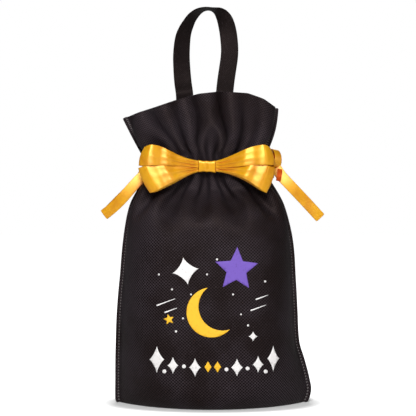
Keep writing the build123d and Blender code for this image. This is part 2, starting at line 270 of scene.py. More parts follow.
def first_shape(gather, left, right):
    """The cloth before it is relaxed: an arc round the filling, then pleats, then the frill."""
    rows = len(left)
    shape = np.zeros((rows, COLUMNS + 1, 3))
    across = np.linspace(0, 1, COLUMNS + 1)
    arch_x, arch_z = zip(*gather.arch)
    for row in range(NECK_ROW + 1):
        lx, rx = left[row, 0], right[row, 0]
        z = left[row, 2] + (right[row, 2] - left[row, 2]) * across
        blend = float(ease(left[row, 2], PLEATS_START, CHANNEL_LOW))
        depth = min(section_depth(rx - lx, WELD_WIDTH), BELLY_DEPTH)
        depth = BASE_DEPTH + (depth - BASE_DEPTH) * float(ease(left[row, 2], 0.0, BASE_ROUND))
        arc = lens(lx, rx, depth, COLUMNS + 1)
        if blend > 0:
            pleats = gathered(lx, rx, RIBBON_LINE + RIBBON_ROOM, -left[row, 1], PLEAT_DEPTH,
                              gather.neck, COLUMNS + 1)
            arc = arc + (pleats - arc) * blend
        shape[row, :, 0] = arc[:, 0]
        shape[row, :, 1] = arc[:, 1]
        shape[row, :, 2] = z
    lip = gathered(left[-1, 0], right[-1, 0], FOLD_NEAR, 0, FOLD_DEPTH, gather.lip, COLUMNS + 1)
    lip[:, 1] += left[-1, 1] + (right[-1, 1] - left[-1, 1]) * across
    lip_z = np.interp(across, arch_x, arch_z)
    base = shape[NECK_ROW].copy()
    for k in range(1, FRILL_ROWS + 1):
        row = NECK_ROW + k
        share = k / FRILL_ROWS
        shape[row, :, 0] = base[:, 0] + (lip[:, 0] - base[:, 0]) * share
        shape[row, :, 1] = base[:, 1] + (lip[:, 1] - base[:, 1]) * share**0.8
        shape[row, :, 2] = base[:, 2] + (lip_z - base[:, 2]) * share
    shape[:, 0] = left
    shape[:, -1] = right
    return shape


SPEED_KEPT = 0.92           # share of each step's movement that carries on into the next
SHEAR = 0.25                # stiffness across the cloth's weave
BENDS = ((2, 0.10), (4, 0.05))      # columns or rows apart, and stiffness
ROW_GAP = 2.9               # between rows, when the cloth is unbent
UNEVEN = 0.15               # of the cloth's first shape
BODY_EASE = 0.012           # extra length up the middle of the body


def relax(shape, gather, rounds):
    """Let the panel settle as cloth that can't stretch, filled in its body, held at its edges.

    The seams, the bottom edge and the ribbon channel are held; pressure fills the body.
    """
    rng = np.random.default_rng(gather.seed)
    rows, columns = shape.shape[:2]
    across = np.linspace(0, 1, columns)
    run = WELD_WIDTH / COLUMNS
    steps = np.linalg.norm(np.diff(shape, axis=0), axis=2)
    side = steps[:, :1] + (steps[:, -1:] - steps[:, :1]) * across
    rise = side * (1 + BODY_EASE * np.sin(math.pi * across))
    frill_steps = steps[NECK_ROW:].mean(axis=0)
    kernel = np.ones(9) / 9
    rise[NECK_ROW:] = np.convolve(np.pad(frill_steps, 4, mode="edge"), kernel, mode="valid")
    cross = np.sqrt(run**2 + ((rise[:, 1:] + rise[:, :-1]) / 2) ** 2)
    rise, cross = rise[..., None], cross[..., None]

    free = np.ones((rows, columns, 1))
    free[0] = 0
    free[:, [0, -1]] = 0
    free[BODY_ROWS:NECK_ROW + 1] = 0
    fill = (1 - ease(np.arange(rows), BODY_ROWS - 16, BODY_ROWS - 2))[:, None, None]
    middle = shape[:, :1, 1] + (shape[:, -1:, 1] - shape[:, :1, 1]) * across
    middle[:NECK_ROW] = -LAYER
    now = shape + rng.normal(0, UNEVEN, shape.shape) * free
    before = now.copy()

    def pull(a, b, rest, stiffness):
        """Move two sets of points towards their rest distance."""
        gap = now[b] - now[a]
        size = np.linalg.norm(gap, axis=2, keepdims=True) + 1e-9
        weight = free[a] + free[b] + 1e-9
        move = gap * (stiffness * (size - rest) / size / weight)
        now[a] += move * free[a]
        now[b] -= move * free[b]

    def bend(a, b, rest, stiffness):
        """Push two points apart where the cloth between them is bent."""
        gap = now[b] - now[a]
        size = np.linalg.norm(gap, axis=2, keepdims=True) + 1e-9
        move = gap * (stiffness * np.minimum(size - rest, 0) / size)
        now[a] += move * free[a]
        now[b] -= move * free[b]

    def pairs(phase, count):
        """Every second point from a phase on, and the point after each."""
        return slice(phase, count - 1, 2), slice(phase + 1, None, 2)

    every = slice(None)
    for _ in range(rounds):
        speed = (now - before) * SPEED_KEPT
        before = now.copy()
        now += speed * free
        normal = np.cross(np.gradient(now, axis=1), np.gradient(now, axis=0))
        normal /= np.linalg.norm(normal, axis=2, keepdims=True) + 1e-9
        now += normal * (PRESSURE * fill * free)
        for phase in (0, 1):
            a, b = pairs(phase, columns)
            pull((every, a), (every, b), run, 1.0)
            a, b = pairs(phase, rows)
            pull((a, every), (b, every), rise[phase::2], 1.0)
        for phase in (0, 1):
            a, b = pairs(phase, rows)
            left, right = slice(0, -1), slice(1, None)
            pull((a, left), (b, right), cross[phase::2], SHEAR)
            pull((a, right), (b, left), cross[phase::2], SHEAR)
        for reach, stiffness in BENDS:
            a, b = slice(0, -reach), slice(reach, None)
            bend((every, a), (every, b), run * reach, stiffness)
            bend((a, every), (b, every), ROW_GAP * reach, stiffness)
        now[..., 1] = np.minimum(now[..., 1], middle - 0.3 * free[..., 0])
        limit = BELLY_REACH + (NECK_REACH - BELLY_REACH) * ease(now[..., 2], 190.0, 215.0)
        limit = limit + (FRILL_REACH - NECK_REACH) * ease(now[..., 2], 256.0, 270.0)
        now[..., 1] = np.maximum(now[..., 1], -limit)
        now[..., 0] = np.clip(now[..., 0], shape[:, :1, 0], shape[:, -1:, 0])
        now = np.where(free > 0, now, shape)
    return now


def cut_edge(shape, side):
    """Trim the frill to the arch of its cut edge, its upper rows moved with the edge."""
    far = 1 + side * shape[-1, :, 1] / CAMERA_DISTANCE
    seen_x = CAMERA_X + (shape[-1, :, 0] - CAMERA_X) / far
    arch_x, arch_z = zip(*(FRONT_EDGE if side > 0 else BACK_EDGE))
    target = CAMERA_Z + (np.interp(seen_x, arch_x, arch_z) - CAMERA_Z) * far
    share = np.linspace(0, 1, FRILL_ROWS + 1)[:, None] ** 1.6
    shape[-FRILL_ROWS - 1:, 1:-1, 2] += (share * (target - shape[-1, :, 2]))[:, 1:-1]
    return shape


# ---- pieces of the model
def grid_faces(rows, columns, flip=False, keep=None):
    """Four-sided faces of a grid; keep(row, column) may leave some out."""
    faces = []
    for r in range(rows - 1):
        for c in range(columns - 1):
            if keep is None or keep(r, c):
                a, b = r * columns + c, (r + 1) * columns + c
                faces.append((a, b, b + 1, a + 1) if flip else (a, a + 1, b + 1, b))
    return faces


def flat_grid(across, up):
    """Flat cloth coordinates of a grid, from where its columns and its rows lie."""
    return np.stack(np.meshgrid(across, up), axis=2)


def add_object(name, data):
    """An object in the scene, from its mesh, curve, lamp or camera."""
    thing = bpy.data.objects.new(name, data)
    bpy.context.scene.collection.objects.link(thing)
    return thing


def add_piece(name, points, faces, material, body, uv=None):
    """A mesh piece from points in millimetres, with flat cloth coordinates in metres."""
    mesh = bpy.data.meshes.new(name)
    mesh.from_pydata((np.asarray(points).reshape(-1, 3) * MM).tolist(), [], faces)
    if uv is not None:
        flat = np.asarray(uv).reshape(-1, 2) * MM
        layer = mesh.uv_layers.new(name="flat")
        corners = np.array([loop.vertex_index for loop in mesh.loops])
        layer.data.foreach_set("uv", flat[corners].ravel())
    mesh.validate()
    piece = add_object(name, mesh)
    for polygon in mesh.polygons:
        polygon.use_smooth = True
    mesh.materials.append(material)
    edit_mesh(mesh, drop_loose)
    if body:
        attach(piece, body)
    return piece


def edit_mesh(mesh, change):
    """Change a mesh's points and faces by a function."""
    bm = bmesh.new()
    bm.from_mesh(mesh)
    change(bm)
    bm.to_mesh(mesh)
    bm.free()


def drop_loose(bm):
    """Remove points that no face uses."""
    bmesh.ops.delete(bm, geom=[v for v in bm.verts if not v.link_faces], context="VERTS")


def join_seam(bm):
    """Join a tube's first and last points, which lie in the same places."""
    bmesh.ops.remove_doubles(bm, verts=bm.verts, dist=0.01 * MM)


def close_tube(bm):
    """Join a tube's seam and close its two ends."""
    join_seam(bm)
    bmesh.ops.holes_fill(bm, edges=[e for e in bm.edges if e.is_boundary], sides=0)
    bmesh.ops.recalc_face_normals(bm, faces=bm.faces)


def thicken(piece, thickness, offset=0.0, rounds=1):
    """Give a surface its real thickness, then make it smooth."""
    solid = piece.modifiers.new("thickness", "SOLIDIFY")
    solid.thickness = thickness * MM
    solid.offset = offset
    solid.use_even_offset = False
    if rounds:
        smoothed(piece, rounds)
    return piece


def smoothed(piece, rounds=1):
    """Round off a piece's facets."""
    smooth = piece.modifiers.new("smooth", "SUBSURF")
    smooth.levels = rounds
    smooth.render_levels = rounds


def unit(vectors):
    return vectors / (np.linalg.norm(vectors, axis=-1, keepdims=True) + 1e-12)


# ---- materials
def linear(red, green, blue):
    """A colour written as it looks on a screen, 0 to 255, as Blender's own values."""
    out = []
    for value in (red, green, blue):
        v = value / 255
        out.append(v / 12.92 if v <= 0.04045 else ((v + 0.055) / 1.055) ** 2.4)
    return (*out, 1.0)


STITCH = 0.0030             # metres from one pressed stitch of the side seams to the next


class Nodes:
    """Short names for building a material's nodes."""

    def __init__(self, name):
        self.material = bpy.data.materials.new(name)
        self.material.use_nodes = True
        self.tree = self.material.node_tree
        self.shader = self.tree.nodes["Principled BSDF"]

    def add(self, kind, inputs=None, **settings):
        node = self.tree.nodes.new("ShaderNode" + kind)
        for key, value in settings.items():
            setattr(node, key, value)
        for key, value in (inputs or {}).items():
            if isinstance(value, bpy.types.NodeSocket):
                self.tree.links.new(value, node.inputs[key])
            else:
                node.inputs[key].default_value = value
        return node

    def math(self, operation, a, b=0.0):
        return self.add("Math", {0: a, 1: b}, operation=operation).outputs[0]

    def range(self, value, low, high, to_low=0.0, to_high=1.0):
        node = self.add("MapRange", {"Value": value, "From Min": low, "From Max": high,
                                     "To Min": to_low, "To Max": to_high},
                        interpolation_type="SMOOTHSTEP")
        return node.outputs["Result"]

    def mix(self, share, a, b):
        node = self.add("Mix", {0: share, 6: a, 7: b}, data_type="RGBA")
        return node.outputs[2]

    def noise(self, vector, scale, detail=2.0, roughness=0.5):
        node = self.add("TexNoise", {"Vector": vector, "Scale": scale, "Detail": detail,
                                     "Roughness": roughness})
        return node.outputs["Fac"]

    def bump(self, height, strength, distance):
        node = self.add("Bump", {"Height": height, "Strength": strength, "Distance": distance})
        return node.outputs["Normal"]

    def link(self, socket, name):
        self.tree.links.new(socket, self.shader.inputs[name])

    def set(self, **values):
        for name, value in values.items():
            self.shader.inputs[name.replace("_", " ")].default_value = value


def cloth_material(name, dark, light, pitch, weld=False):
    """Non-woven cloth with pressed dots, a little fuzz and a faint uneven colour; its light fibre
    specks are painted highlights, and its pressed dots are painted near-black as painted shade in
    their hollows.
    """
    n = Nodes(name)
    flat = n.add("UVMap", uv_map="flat").outputs["UV"]
    place = n.add("TexCoord").outputs["Object"]
    slanted = n.add("Mapping", {"Vector": flat, "Rotation": (0, 0, math.radians(45))})
    dots = n.add("TexVoronoi", {"Vector": slanted.outputs[0], "Scale": 1 / (pitch * MM),
                                "Randomness": 0.06}, voronoi_dimensions="2D")
    raised = n.range(dots.outputs["Distance"], 0.30, 0.50)
    patch = n.noise(place, 22.0, 3.0)
    fibre = n.noise(place, 900.0, 2.0, 0.7)
    base = n.mix(n.range(patch, 0.35, 0.68), dark, light)
    # Light fibre specks: painted highlights, the glints that lamps would give the fibres.
    painted_glints = n.mix(n.math("MULTIPLY", n.range(fibre, 0.60, 0.78), 0.55), base, linear(96, 88, 93))
    # The pressed dots are darkened almost to black: painted shade in their hollows, laid over the
    # cloth's real pattern of pressed dots.
    colour = n.mix(n.math("MULTIPLY", n.math("SUBTRACT", 1.0, raised), 0.96), painted_glints, linear(5, 4, 4))
    height = n.math("ADD", raised, n.math("MULTIPLY", fibre, 0.5))
    if weld:
        split = n.add("SeparateXYZ", {"Vector": flat})
        across = split.outputs["X"]
        inward = n.math("MINIMUM", n.math("ABSOLUTE", across),
                        n.math("ABSOLUTE", n.math("SUBTRACT", across, WELD_WIDTH * MM)))
        line = n.math("SUBTRACT", 1.0, n.range(inward, 0.0008, 0.0016))
        beat = n.math("SINE", n.math("MULTIPLY", split.outputs["Y"], 2 * math.pi / STITCH))
        stitch = n.math("MULTIPLY", line, n.range(beat, -0.1, 0.5))
        colour = n.mix(n.math("MULTIPLY", stitch, 0.6), colour, linear(126, 120, 120))
        height = n.math("SUBTRACT", height, n.math("MULTIPLY", line, 1.4))
    n.link(colour, "Base Color")
    n.link(n.range(patch, 0.2, 0.8, 0.40, 0.54), "Roughness")
    n.link(n.bump(height, 0.75, 0.00030), "Normal")
    n.set(Specular_IOR_Level=0.10, Sheen_Weight=0.0, Specular_Tint=linear(255, 226, 222))
    return n.material


def satin_material(name, base, deep, hollow, shine=1.0):
    """Satin ribbon: fine threads along the ribbon, a soft shine across them, and painted shade in
    its hollows.
    """
    n = Nodes(name)
    flat = n.add("UVMap", uv_map="flat").outputs["UV"]
    place = n.add("TexCoord").outputs["Object"]
    threads = n.add("Mapping", {"Vector": flat, "Scale": (600.0, 9000.0, 1.0)}).outputs[0]
    grain = n.noise(threads, 1.0, 2.0)
    slub = n.noise(place, 70.0, 2.0)
    colour = n.mix(n.range(slub, 0.3, 0.75), base, deep)
    # Painted shade: an ambient occlusion node turns the colour deeper and darker in the ribbon's
    # hollows and folds.
    open_share = n.add("AmbientOcclusion", {"Distance": 0.007}, samples=8).outputs["AO"]
    colour = n.mix(n.range(open_share, 0.40, 0.95), hollow, colour)
    n.link(colour, "Base Color")
    n.link(n.range(grain, 0.3, 0.7, 0.38, 0.42), "Roughness")
    n.link(n.bump(grain, 0.05, 0.00004), "Normal")
    tangent = n.add("Tangent", direction_type="UV_MAP", uv_map="flat")
    n.link(tangent.outputs[0], "Tangent")
    n.set(Specular_IOR_Level=shine, Anisotropic=0.9, Anisotropic_Rotation=0.25,
          Sheen_Weight=0.04 * shine, Sheen_Roughness=0.35, Metallic=0.24,
          Specular_Tint=linear(255, 249, 212), Sheen_Tint=linear(255, 226, 150))
    return n.material


def ink_material(name, colour, worn):
    """Screen ink on pressed cloth: the dots show through, and it is a little uneven."""
    n = Nodes(name)
    place = n.add("TexCoord").outputs["Object"]
    dots = n.add("TexVoronoi", {"Vector": place, "Scale": 700.0, "Randomness": 0.3})
    raised = n.range(dots.outputs["Distance"], 0.25, 0.5)
    wear = n.noise(place, 380.0, 3.0, 0.6)
    n.link(n.mix(n.range(wear, 0.52, 0.85), colour, worn), "Base Color")
    n.link(n.bump(raised, 0.35, 0.00012), "Normal")
    n.set(Roughness=0.62, Specular_IOR_Level=0.30)
    return n.material


BLACK = cloth_material("black_cloth_finish", linear(34, 26, 27), linear(53, 46, 51), 2.1, weld=True)
LINING = cloth_material("black_lining_finish", linear(26, 21, 22), linear(38, 32, 34), 2.1)
STRAP_BLACK = cloth_material("black_strap_finish", linear(25, 19, 19), linear(35, 28, 28), 1.5)
SATIN = satin_material("gold_satin_finish", linear(229, 164, 8), linear(210, 136, 2),
                       linear(180, 76, 1))
# The ribbon's back: less shine, as a satin's back has, and a darker, deeper orange that is painted
# shade.
SATIN_BACK_SHADED = satin_material("gold_satin_reverse_shaded", linear(192, 78, 2), linear(164, 54, 1),
                            linear(140, 40, 1), 0.15)
INKS = {
    "print_yellow": ink_material("yellow_ink", linear(244, 188, 44), linear(208, 156, 36)),
    "print_purple": ink_material("purple_ink", linear(112, 84, 178), linear(92, 68, 146)),
    "print_white": ink_material("white_ink", linear(232, 229, 228), linear(190, 187, 186)),
}


# ---- front and back panels
def with_seams(shape):
    """The panel with its welded seams added outside both welds."""
    edges = []
    for column, out in ((0, -1), (-1, 1)):
        line = shape[:, column].copy()
        along = unit(np.gradient(line * [1, 0, 1], axis=0))
        side = np.stack([along[:, 2], along[:, 0] * 0, -along[:, 0]], axis=1) * out
        edges.append([line + side * step for step in SEAM_STEPS])
    left = np.stack(edges[0][::-1], axis=1)
    right = np.stack(edges[1], axis=1)
    whole = np.concatenate([left, shape, right], axis=1)
    whole[..., 2] = np.maximum(whole[..., 2], FLOOR_GAP)
    return whole


def cloth_panel(name, node, side):
    """One panel of the bag: relaxed cloth, with its seams, its cut edge and its thickness."""
    gather = GATHERS[name]
    left, right = seam_paths(side)
    shape = first_shape(gather, left, right)
    shape = cut_edge(relax(shape, gather, ROUNDS), side)
    whole = with_seams(shape)
    rows, columns = whole.shape[:2]
    steps = np.array(SEAM_STEPS)
    across = np.concatenate([-steps[::-1], np.linspace(0, WELD_WIDTH, COLUMNS + 1),
                             WELD_WIDTH + steps])
    up = distances(shape[:, COLUMNS // 2])
    whole[..., 1] *= side

    def keep(row, column):
        """The seams are left out at the channel, where they are open."""
        in_seam = column < len(steps) or column >= columns - 1 - len(steps)
        return not (in_seam and BODY_ROWS <= row < NECK_ROW)

    piece = add_piece(name + "_cloth", whole, grid_faces(rows, columns, side < 0, keep), BLACK,
                      "bag", flat_grid(across, up))
    thicken(piece, CLOTH)
    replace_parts(piece, node)
    return shape * [1, side, 1]


front_shape = cloth_panel("front", "front_panel", 1)
back_shape = cloth_panel("back", "back_panel", -1)


# ---- base gusset
TURNED_UP = 6.0             # the base's edge, inside both panels
GUSSET_INSET = 0.9          # from a panel's middle to the gusset's
GUSSET_NARROWER = 0.992
CREASE_HEIGHT = 1.5
CREASE_WIDTH = 0.05         # share of the base's depth


def base_gusset():
    """The oval base, folded up inside both panels, with its crease along the middle."""
    rise = float(front_shape[1, COLUMNS // 2, 2] - front_shape[0, COLUMNS // 2, 2])
    up_row = max(1, round(TURNED_UP / rise))
    walls = []
    for shape, sign in ((front_shape, 1), (back_shape, -1)):
        wall = [shape[r].copy() for r in range(up_row, -1, -1)]
        for line in wall:
            line[:, 1] += GUSSET_INSET * sign * ease(np.abs(line[:, 1]), 0, 4)
            line[:, 0] *= GUSSET_NARROWER
            line[:, 2] = np.maximum(line[:, 2], FLOOR_GAP)
        walls.append(wall)
    front_edge, back_edge = walls[0][-1], walls[1][-1]
    floor = []
    for share in np.linspace(0, 1, 14)[1:-1]:
        line = front_edge + (back_edge - front_edge) * share
        line[:, 2] = FLOOR_GAP + CREASE_HEIGHT * math.exp(-((share - 0.5) / CREASE_WIDTH) ** 2)
        floor.append(line)
    grid = np.array(walls[0] + floor + walls[1][::-1])
    along = distances(grid[:, COLUMNS // 2])
    piece = add_piece("base_gusset_cloth", grid, grid_faces(len(grid), COLUMNS + 1, True), LINING,
                      "bag",
                      flat_grid(np.linspace(0, WELD_WIDTH, COLUMNS + 1), along))
    thicken(piece, CLOTH)
    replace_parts(piece, "bottom_gusset")


base_gusset()


# ---- inner strips of the ribbon channel
def channel_strip(name, node, panel, side):
    """The strip inside the panel that closes the channel: welded above and below, drawn in."""
    low, high = BODY_ROWS - 2, NECK_ROW + 2
    rows = np.arange(low, high + 1)
    inner = panel[rows, STRIP_ENDS:-STRIP_ENDS].copy()
    deep = np.abs(inner[..., 1])
    from_end = np.minimum(inner[..., 0] - panel[rows, :1, 0], panel[rows, -1:, 0] - inner[..., 0])
    reach = STRIP_REACH - 5.0 * (1 - ease(from_end, 16.0, 42.0))
    drawn = np.clip(4.4 + 0.72 * (deep - RIBBON_LINE - RIBBON_ROOM), 1.2, reach)
    held = np.clip(deep - 0.7, 0.5, None)
    share = ease(np.minimum(rows - low, high - rows), 0.0, 2.0)[:, None]
    inner[..., 1] = -side * (held + (drawn - held) * share)
    columns = inner.shape[1]
    width = (columns - 1) * WELD_WIDTH / COLUMNS
    uv = flat_grid(np.linspace(0, width, columns), np.linspace(0, STRIP_HEIGHT, len(rows)))
    piece = add_piece(name, inner, grid_faces(len(rows), columns, side < 0), LINING, "bag",
                      uv)
    thicken(piece, CLOTH)
    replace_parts(piece, node)


channel_strip("front_channel_cloth", "front_channel_strip", front_shape, 1)
channel_strip("back_channel_cloth", "back_channel_strip", back_shape, -1)


# ---- ribbons
def ribbon_grid(line, wide, width, columns, crown=0.0):
    """Points of a flat ribbon along a line; wide gives its width's direction at each point."""
    wide = unit(np.asarray(wide, dtype=float))
    along = unit(np.gradient(line, axis=0))
    wide = unit(wide - along * (wide * along).sum(axis=1, keepdims=True))
    face = np.cross(along, wide)
    grid = []
    for share in np.linspace(-0.5, 0.5, columns + 1):
        grid.append(line + wide * width * share + face * crown * (1 - 4 * share * share))
    return np.stack(grid, axis=1)


def ribbon(name, line, wide, width, body, columns=4, crown=0.0, material=SATIN):
    """A satin ribbon as a piece of its own, with its flat coordinates along and across it."""
    grid = ribbon_grid(line, wide, width, columns, crown)
    uv = flat_grid(np.linspace(0, width, columns + 1), distances(line))[..., ::-1]
    piece = add_piece(name, grid, grid_faces(len(line), columns + 1), material, body,
                      uv)
    return thicken(piece, RIBBON)


KNOT_END = NECK_X - left_low[0]
TURN_SHORT = {-1: 3.5, 1: 5.0}      # each far turn stops this far inside its CAD one
TURN_END = {side: left_high[0] - NECK_X - short for side, short in TURN_SHORT.items()}
TURN_RISE = {-1: 0.6, 1: 0.0}


def drawstring_line(side, band):
    """A drawstring's loop: straight strands in the channel, drawn together at its knot, and a
    slack turn that stands out of the channel at the other side."""
    end = NECK_X + side * KNOT_END
    turn = NECK_X - side * TURN_END[side]
    half = [
        (end, 1.4, 0), (end - side * 3, 3.2, 0), (end - side * 9, 7.4, 0),
        (end - side * 16, 10.4, 0), (end - side * 24, RIBBON_LINE - 0.1, 0),
        (NECK_X + side * 10, RIBBON_LINE, 0), (NECK_X - side * 28, RIBBON_LINE - 0.1, 0),
        (turn + side * 24, 10.2, 0), (turn + side * 15, 8.0, 0.3), (turn + side * 7, 7.6, 1.2),
        (turn + side * 1.5, 5.2, 2.2),
    ]
    rise = TURN_RISE[side]
    front = [(x, -y, band - rise * 0.3 * up) for x, y, up in half]
    back = [(x, y, band + rise * up) for x, y, up in reversed(half)]
    return smooth_curve(front + [(turn, -0.5, band + rise * 1.1)] + back, 200)


def drawstring(name, node, side, low, high, body):
    band = (low[2] + high[2]) / 2
    line = drawstring_line(side, band)
    share = np.linspace(-1, 1, len(line))
    tilt = TURN_RISE[side] * 0.13 * np.exp(-(share / 0.10) ** 2)
    wide = np.stack([-side * tilt, tilt * 0, np.ones(len(line))], axis=1)
    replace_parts(ribbon(name, line, wide, DRAWSTRING_WIDTH, body), node)


drawstring("left_drawstring_ribbon", "left_drawstring", -1, left_low, left_high, "left_pull")
drawstring("right_drawstring_ribbon", "right_drawstring", 1, right_low, right_high, "right_pull")


def knot(name, node, side, body, share):
    """The folded core of an overhand knot in flat ribbon, share of its CAD box long."""
    low, high = node_box(node)
    middle = (low + high) / 2
    length = (high[0] - low[0]) * share
    inner_x = low[0] if side > 0 else high[0]
    rows, columns = 26, 29
    v = np.linspace(0, 1, rows)[:, None]
    u = np.linspace(0, 2 * math.pi, columns)[None, :]
    swell = np.clip(np.sin(math.pi * np.clip(v * 0.94 + 0.03, 0, 1)), 0, 1) ** 0.42
    crease = 1 - 0.16 * np.clip(np.cos(3 * u + 5 * v + side), 0, 1) ** 3
    ry = 3.9 * swell * crease + 0.3
    rz = 4.5 * swell * crease + 0.3
    core = np.stack([inner_x + side * (0.3 + (length - 0.6) * v) + 0 * u,
                     middle[1] - ry * np.cos(u), middle[2] + rz * np.sin(u)], axis=2)
    uv = flat_grid(np.linspace(0, 26, columns), np.linspace(0, 12, rows))
    piece = add_piece(name + "_core", core, grid_faces(rows, columns, side < 0), SATIN, body,
                      uv)
    edit_mesh(piece.data, close_tube)
    smoothed(piece)
    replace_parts(piece, node)


def knot_curl(name, middle, radii, axis, start, end, body):
    """The turn of ribbon that stands out of a knot: an open ring about a slanting axis."""
    axis = np.array(axis, dtype=float)
    angle = np.radians(np.linspace(start, end, 60))
    x, z = radii[0] * np.cos(angle), radii[1] * np.sin(angle)
    y = -(axis[0] * x + axis[2] * z) / axis[1]
    line = np.stack([middle[0] + x, middle[1] + y, middle[2] + z], axis=1)
    ribbon(name, line, np.repeat(axis[None, :], 60, axis=0), KNOT_TURN_WIDTH, body, columns=5)


def tuck(name, line, width, body):
    """A short piece of ribbon turned over, which shows its back: duller, as a satin's back is, and
    darker and deeper orange as painted shade.
    """
    line = smooth_curve(line, 16)
    ribbon(name, line, np.repeat([[1.0, 0.25, 0.15]], 16, axis=0), width, body,
           material=SATIN_BACK_SHADED)


knot("left_knot_ribbon", "left_knot", -1, "left_pull", 0.72)
knot("right_knot_ribbon", "right_knot", 1, "right_pull", 0.85)
knot_curl("left_knot_turn", (-68.5, -3.0, 228.5), (4.6, 5.6), (0.45, -0.85, 0.2), 215, -60,
          "left_pull")
knot_curl("right_knot_turn", (61.0, -3.2, 243.2), (3.9, 9.6), (-0.80, -0.58, 0.12), 250, -100,
          "right_pull")

tuck("right_knot_back", [(60.0, 0.5, 249.5), (60.5, 0.2, 243.0), (61.5, -0.5, 236.0)], 9.0,
     "right_pull")
tuck("right_tail_fold", [(66.4, -9.0, 233.0), (65.4, -11.0, 226.6), (64.3, -11.6, 221.0)], 5.0,
     "right_pull")

# ---- tails: the drawstrings' loose ends
TAIL_WIDTH = {"front": 11.0, "rear": 9.4}
# Each tail's route, in metres, from its knot. The first point of every tail but left_rear_tail,
# and the fourth of left_front_tail, are given here. The others lie on the CAD tails.
TAILS = {
    "left_front_tail": [(-0.0612, -0.0078, 0.2346), (-0.0667, -0.0074, 0.2290),
                        (-0.07732, -0.0109, 0.21841), (-0.0955, -0.0129, 0.1966),
                        (-0.10833, -0.0099, 0.18747)],
    "left_rear_tail": [(-0.0667, -0.0057, 0.2290), (-0.07767, -0.0088, 0.21805),
                       (-0.09573, -0.0106, 0.20004), (-0.10663, -0.0070, 0.18917)],
    "right_front_tail": [(0.0620, -0.0060, 0.2350), (0.0664, -0.0090, 0.2273),
                         (0.07664, -0.0120, 0.21634), (0.09508, -0.0140, 0.19662),
                         (0.10642, -0.0105, 0.18449)],
    "right_rear_tail": [(0.0615, -0.0050, 0.2345), (0.0664, -0.0074, 0.2273),
                        (0.07699, -0.0100, 0.21598), (0.0944, -0.0118, 0.19735),
                        (0.10464, -0.0080, 0.18639)],
}


def nurbs_line(name, points):
    """The smooth line of a cord, from its route's points."""
    curve = bpy.data.curves.new(name, "CURVE")
    curve.dimensions = "3D"
    spline = curve.splines.new("NURBS")
    spline.points.add(len(points) - 1)
    for control, point in zip(spline.points, points):
        control.co = (*point, 1)
    spline.order_u = 3
    spline.use_endpoint_u = True
    spline.resolution_u = 16
    holder = add_object(name, curve)
    bpy.context.view_layer.update()
    mesh = bpy.data.meshes.new_from_object(holder)
    line = [tuple(v.co) for v in mesh.vertices]
    bpy.data.objects.remove(holder)
    bpy.data.meshes.remove(mesh)
    return line


for tail_name, route in TAILS.items():
    path = nurbs_line(tail_name + "_line", route)
    line = np.array(path) / MM
    way = unit(line[-1:] - line[:1])
    wide = np.repeat(np.cross(way, [[0.0, -1.0, 0.0]]), len(line), axis=0)
    hand, which, _ = tail_name.split("_")
    width = TAIL_WIDTH[which]
    tail = ribbon(tail_name + "_ribbon", line, wide, width, hand + "_pull", crown=-0.5)
    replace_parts(tail, tail_name)


# ---- bow
loop_low, loop_high = node_box("bow_upper_loops", "bow_lower_loops")
LOOP_FRONT = BOW_Y - loop_low[1] - 0.4      # how far the loops stand in front of the wrap's middle
LOOP_BACK = loop_high[1] - BOW_Y - 0.3


def bow_loop(edge_high, edge_low, folds, waves, side, layer):
    """One loop of the bow, out from the wrap along its front and back again behind.

    edge_high and edge_low are its two edges as seen from the front: points (x, z) from the
    bow's middle, from the wrap to the outer fold. folds are the broad waves that cross the
    ribbon, waves the small pleats that fan out from the wrap. layer tucks it inside another.
    """
    rows, columns = 97, 29
    half = LOOP_FRONT - layer
    plan = [(0.0, -0.9 + 0.4 * layer), (0.10, -1.7 + 0.4 * layer), (0.32, -0.50 * half),
            (0.58, -0.86 * half), (0.80, -half), (0.93, -0.90 * half), (1.0, -0.58 * half),
            (0.965, -0.2 * half), (0.85, LOOP_BACK - 1.3 - layer),
            (0.55, LOOP_BACK * 0.4 - 0.8 - layer), (0.25, -0.4), (0.0, 0.5 - 0.4 * layer)]
    line = smooth_curve(plan, rows)
    out = np.clip(line[:, 0], 0, 1)
    turn = np.linspace(0, 1, rows)
    front = 1 - ease(turn, 0.42, 0.56)
    high = smooth_curve(edge_high, 200)
    low = smooth_curve(edge_low, 200)
    marks = np.linspace(0, 1, 200)
    grid = np.zeros((rows, columns, 3))
    for c, t in enumerate(np.linspace(0, 1, columns)):
        x = np.interp(out, marks, low[:, 0]) * (1 - t) + np.interp(out, marks, high[:, 0]) * t
        z = np.interp(out, marks, low[:, 1]) * (1 - t) + np.interp(out, marks, high[:, 1]) * t
        x += 1.5 * math.sin(math.pi * t) * ease(out, 0.7, 1.0)
        y = line[:, 1].copy()
        edge = 4 * t * (1 - t)
        fade = ease(out, 0.0, 0.10) * (1 - ease(out, 0.80, 1.0))
        y += (1 - edge) * 1.2 * ease(out, 0.15, 0.5) * front
        for place, width, height in waves:
            y -= front * fade * height * (1 - out) ** 1.3 * math.exp(-(((t - place) / width) ** 2))
        for place, width, height in folds:
            y -= front * height * np.exp(-(((out - place - 0.06 * (t - 0.5)) / width) ** 2))
        drop = (1 - front) * ease(out, 0.1, 0.5) * (1 - ease(out, 0.85, 1.0))
        z -= drop * 1.4 * (1 - t)
        grid[:, c] = np.stack([NECK_X + side * x, BOW_Y + y, BOW_Z + z], axis=1)
    return grid


def bow_piece(name, node, loops, width):
    """Both loops of one folded ribbon as one piece."""
    points, faces, uvs = [], [], []
    for grid, side in loops:
        rows, columns = grid.shape[:2]
        start = sum(len(p) for p in points)
        points.append(grid.reshape(-1, 3))
        faces += [tuple(start + i for i in face) for face in grid_faces(rows, columns, side < 0)]
        along = distances(grid[:, columns // 2])
        uvs.append(flat_grid(np.linspace(0, width, columns), along)[..., ::-1].reshape(-1, 2))
    piece = add_piece(name, np.vstack(points), faces, SATIN, "bag", np.vstack(uvs))
    thicken(piece, RIBBON)
    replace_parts(piece, node)


